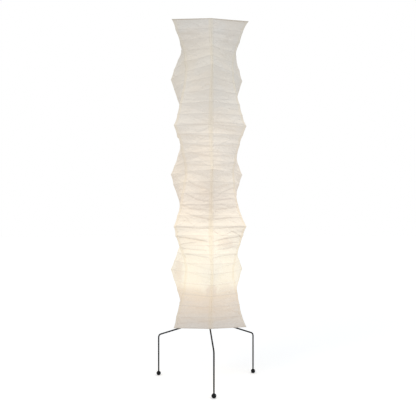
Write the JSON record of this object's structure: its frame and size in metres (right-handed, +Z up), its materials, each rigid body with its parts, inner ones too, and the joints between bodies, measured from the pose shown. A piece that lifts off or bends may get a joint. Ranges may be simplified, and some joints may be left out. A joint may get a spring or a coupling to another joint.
{
  "type": "floor lamp",
  "caption": "Tall folded paper lantern on a black bent-rod tripod with ball feet, lit from inside low down.",
  "frame": {"origin": "on the floor, on the lamp's upright axis, midway between the three ball feet", "axes": "+Z up along the mast; -Y towards the front leg and the front seam; +X to the right seen from the front"},
  "size_m": [0.5654, 0.5585, 1.929],
  "materials": {
    "black_rod": "satin",
    "foot_ball": "satin",
    "black_steel": "satin",
    "zinc_steel": "zinc plated",
    "bush_plastic": "matt",
    "holder_plastic": "matt",
    "holder_ceramic": "unglazed",
    "holder_brass": "bare",
    "bulb_diffuser": "frosted, lit",
    "bulb_housing": "gloss",
    "bulb_cap_metal": "bare",
    "bulb_insulator": "black",
    "bulb_tip": "soldered",
    "shade_wire": "white coated",
    "paper": "crumpled, slightly translucent",
    "rib_wire": "thin coat"
  },
  "bodies": {
    "base": {"leg_front": "black_rod", "leg_rear_right": "black_rod", "leg_rear_left": "black_rod", "foot_front": "foot_ball", "foot_rear_right": "foot_ball", "foot_rear_left": "foot_ball", "hub": "black_steel", "hub_grub_screws": "zinc_steel", "stem_tube": "zinc_steel", "stem_nuts": "zinc_steel", "cord_bush": "bush_plastic", "holder_cap": "holder_plastic", "holder_shell": "holder_plastic", "holder_core": "holder_ceramic", "holder_thread": "holder_brass", "holder_contact": "holder_brass", "arch_saddle": "black_steel", "bulb_arch": "black_rod", "arch_nuts": "zinc_steel", "mast_seat": "black_steel", "mast_lower": "black_rod", "mast_middle": "black_rod", "mast_upper": "black_rod", "mast_sleeve_lower": "black_steel", "mast_sleeve_upper": "black_steel"},
    "bulb": {"bulb_dome": "bulb_diffuser", "bulb_body": "bulb_housing", "bulb_screw_cap": "bulb_cap_metal", "bulb_insulator": "bulb_insulator", "bulb_contact": "bulb_tip"},
    "shade": {"shade_cup": "black_steel", "top_spokes": "shade_wire", "frame_top": "shade_wire", "paper_gore_1": "paper", "paper_gore_2": "paper", "paper_gore_3": "paper", "paper_gore_4": "paper", "paper_gore_5": "paper", "paper_gore_6": "paper", "ribs_tier_1": "rib_wire", "ribs_tier_2": "rib_wire", "ribs_tier_3": "rib_wire", "ribs_tier_4": "rib_wire", "ribs_tier_5": "rib_wire", "ribs_tier_6": "rib_wire"},
    "level_1": {"frame_level_1": "shade_wire"},
    "level_2": {"frame_level_2": "shade_wire"},
    "level_3": {"frame_level_3": "shade_wire"},
    "level_4": {"frame_level_4": "shade_wire"},
    "level_5": {"frame_level_5": "shade_wire"},
    "shade_bottom": {"frame_bottom": "shade_wire", "bottom_ring": "shade_wire", "bottom_spokes": "shade_wire"}
  },
  "joints": [
    {"name": "shade_lift", "type": "slide", "parent": "base", "child": "shade", "axis": [0, 0, 1], "range_m": [0, 1.62]},
    {"name": "shade_fold", "type": "slide", "parent": "shade", "child": "shade_bottom", "axis": [0, 0, 1], "range_m": [0, 1.487], "deforming": ["paper_gore_1", "paper_gore_2", "paper_gore_3", "paper_gore_4", "paper_gore_5", "paper_gore_6", "ribs_tier_1", "ribs_tier_2", "ribs_tier_3", "ribs_tier_4", "ribs_tier_5", "ribs_tier_6"]},
    {"name": "level_1_rise", "type": "slide", "parent": "shade", "child": "level_1", "axis": [0, 0, 1], "range_m": [0, 0.2419]},
    {"name": "level_2_rise", "type": "slide", "parent": "shade", "child": "level_2", "axis": [0, 0, 1], "range_m": [0, 0.5095]},
    {"name": "level_3_rise", "type": "slide", "parent": "shade", "child": "level_3", "axis": [0, 0, 1], "range_m": [0, 0.7312]},
    {"name": "level_4_rise", "type": "slide", "parent": "shade", "child": "level_4", "axis": [0, 0, 1], "range_m": [0, 0.9988]},
    {"name": "level_5_rise", "type": "slide", "parent": "shade", "child": "level_5", "axis": [0, 0, 1], "range_m": [0, 1.2204]},
    {"name": "bulb_unscrew", "type": "slide", "parent": "base", "child": "bulb", "axis": [0, 0, 1], "range_m": [0, 0.032]}
  ],
  "couplings": [
    {"joint": "level_1_rise", "follows": "shade_fold", "ratio": 0.16203},
    {"joint": "level_2_rise", "follows": "shade_fold", "ratio": 0.34199},
    {"joint": "level_3_rise", "follows": "shade_fold", "ratio": 0.49103},
    {"joint": "level_4_rise", "follows": "shade_fold", "ratio": 0.671},
    {"joint": "level_5_rise", "follows": "shade_fold", "ratio": 0.82004}
  ]
}
